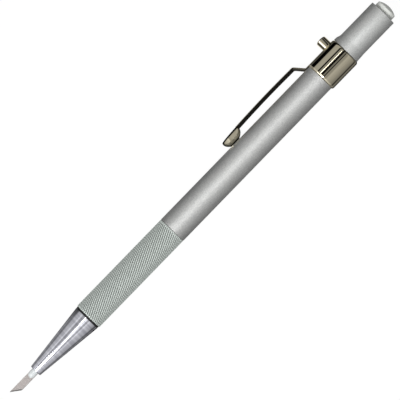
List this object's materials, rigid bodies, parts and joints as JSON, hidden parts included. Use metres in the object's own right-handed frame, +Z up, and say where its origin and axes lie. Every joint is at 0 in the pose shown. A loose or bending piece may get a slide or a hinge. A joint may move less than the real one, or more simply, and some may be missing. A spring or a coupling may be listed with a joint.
{
  "type": "retractable craft knife",
  "caption": "Pen-shaped craft knife: a tail button drives a slant-edged blade out through a turned nose cone, and a button on the clip band lets it spring back into the knurled barrel.",
  "frame": {"origin": "on the table under the middle of the knife's box, the knife lying on its clip band and the edge of its clip", "axes": "+X along the knife towards the push button, +Y towards the clip's side, +Z up"},
  "size_m": [0.1398, 0.0114, 0.0088],
  "materials": {
    "satin_aluminium": "satin, fine turned grain",
    "knurled_aluminium": "fine diamond knurl",
    "polished_nickel": "polished nickel plate",
    "blade_steel": "ground steel",
    "bright_steel": "bright turned steel",
    "pale_aluminium": "pale satin",
    "black_rubber": "matt black",
    "spring_steel": "drawn wire and blued strip",
    "brass": "turned brass"
  },
  "bodies": {
    "handle": {"grip": "knurled_aluminium", "front_liner": "brass", "barrel": "satin_aluminium", "rod_guide": "brass", "latch_housing": "brass", "pocket_clip": "polished_nickel", "tail_barrel": "satin_aluminium", "tail_bush": "satin_aluminium", "return_spring": "spring_steel"},
    "carriage": {"blade": "blade_steel", "blade_chuck": "bright_steel", "chuck_ring": "brass", "carrier_rod": "bright_steel", "spring_cup": "brass", "rod_clip": "spring_steel", "latch_leaf": "spring_steel", "latch_rivet": "bright_steel", "push_button": "pale_aluminium"},
    "release": {"release_button": "polished_nickel"},
    "nose_ring": {"nose_seal": "black_rubber"},
    "nose": {"nose_cone": "polished_nickel"}
  },
  "joints": [
    {"name": "blade_slide", "type": "slide", "parent": "handle", "child": "carriage", "axis": [1, 0, 0], "range_m": [0, 0.0095], "deforming": ["return_spring", "latch_leaf"]},
    {"name": "release_press", "type": "slide", "parent": "handle", "child": "release", "axis": [0, -0.9029, 0.4298], "range_m": [0, 0.0007], "stiffness_N_per_m": 1000, "deforming": ["latch_leaf"]},
    {"name": "nose_advance", "type": "slide", "parent": "handle", "child": "nose_ring", "axis": [-1, 0, 0], "range_m": [0, 0.0045]},
    {"name": "nose_turn", "type": "hinge", "parent": "nose_ring", "child": "nose", "pos_m": [-0.04172, -0.00125, 0.00441], "axis": [-1, 0, 0], "range_deg": [0, 1080]}
  ],
  "couplings": [
    {"joint": "nose_turn", "follows": "nose_advance", "rad_per_m": 4188.8}
  ]
}
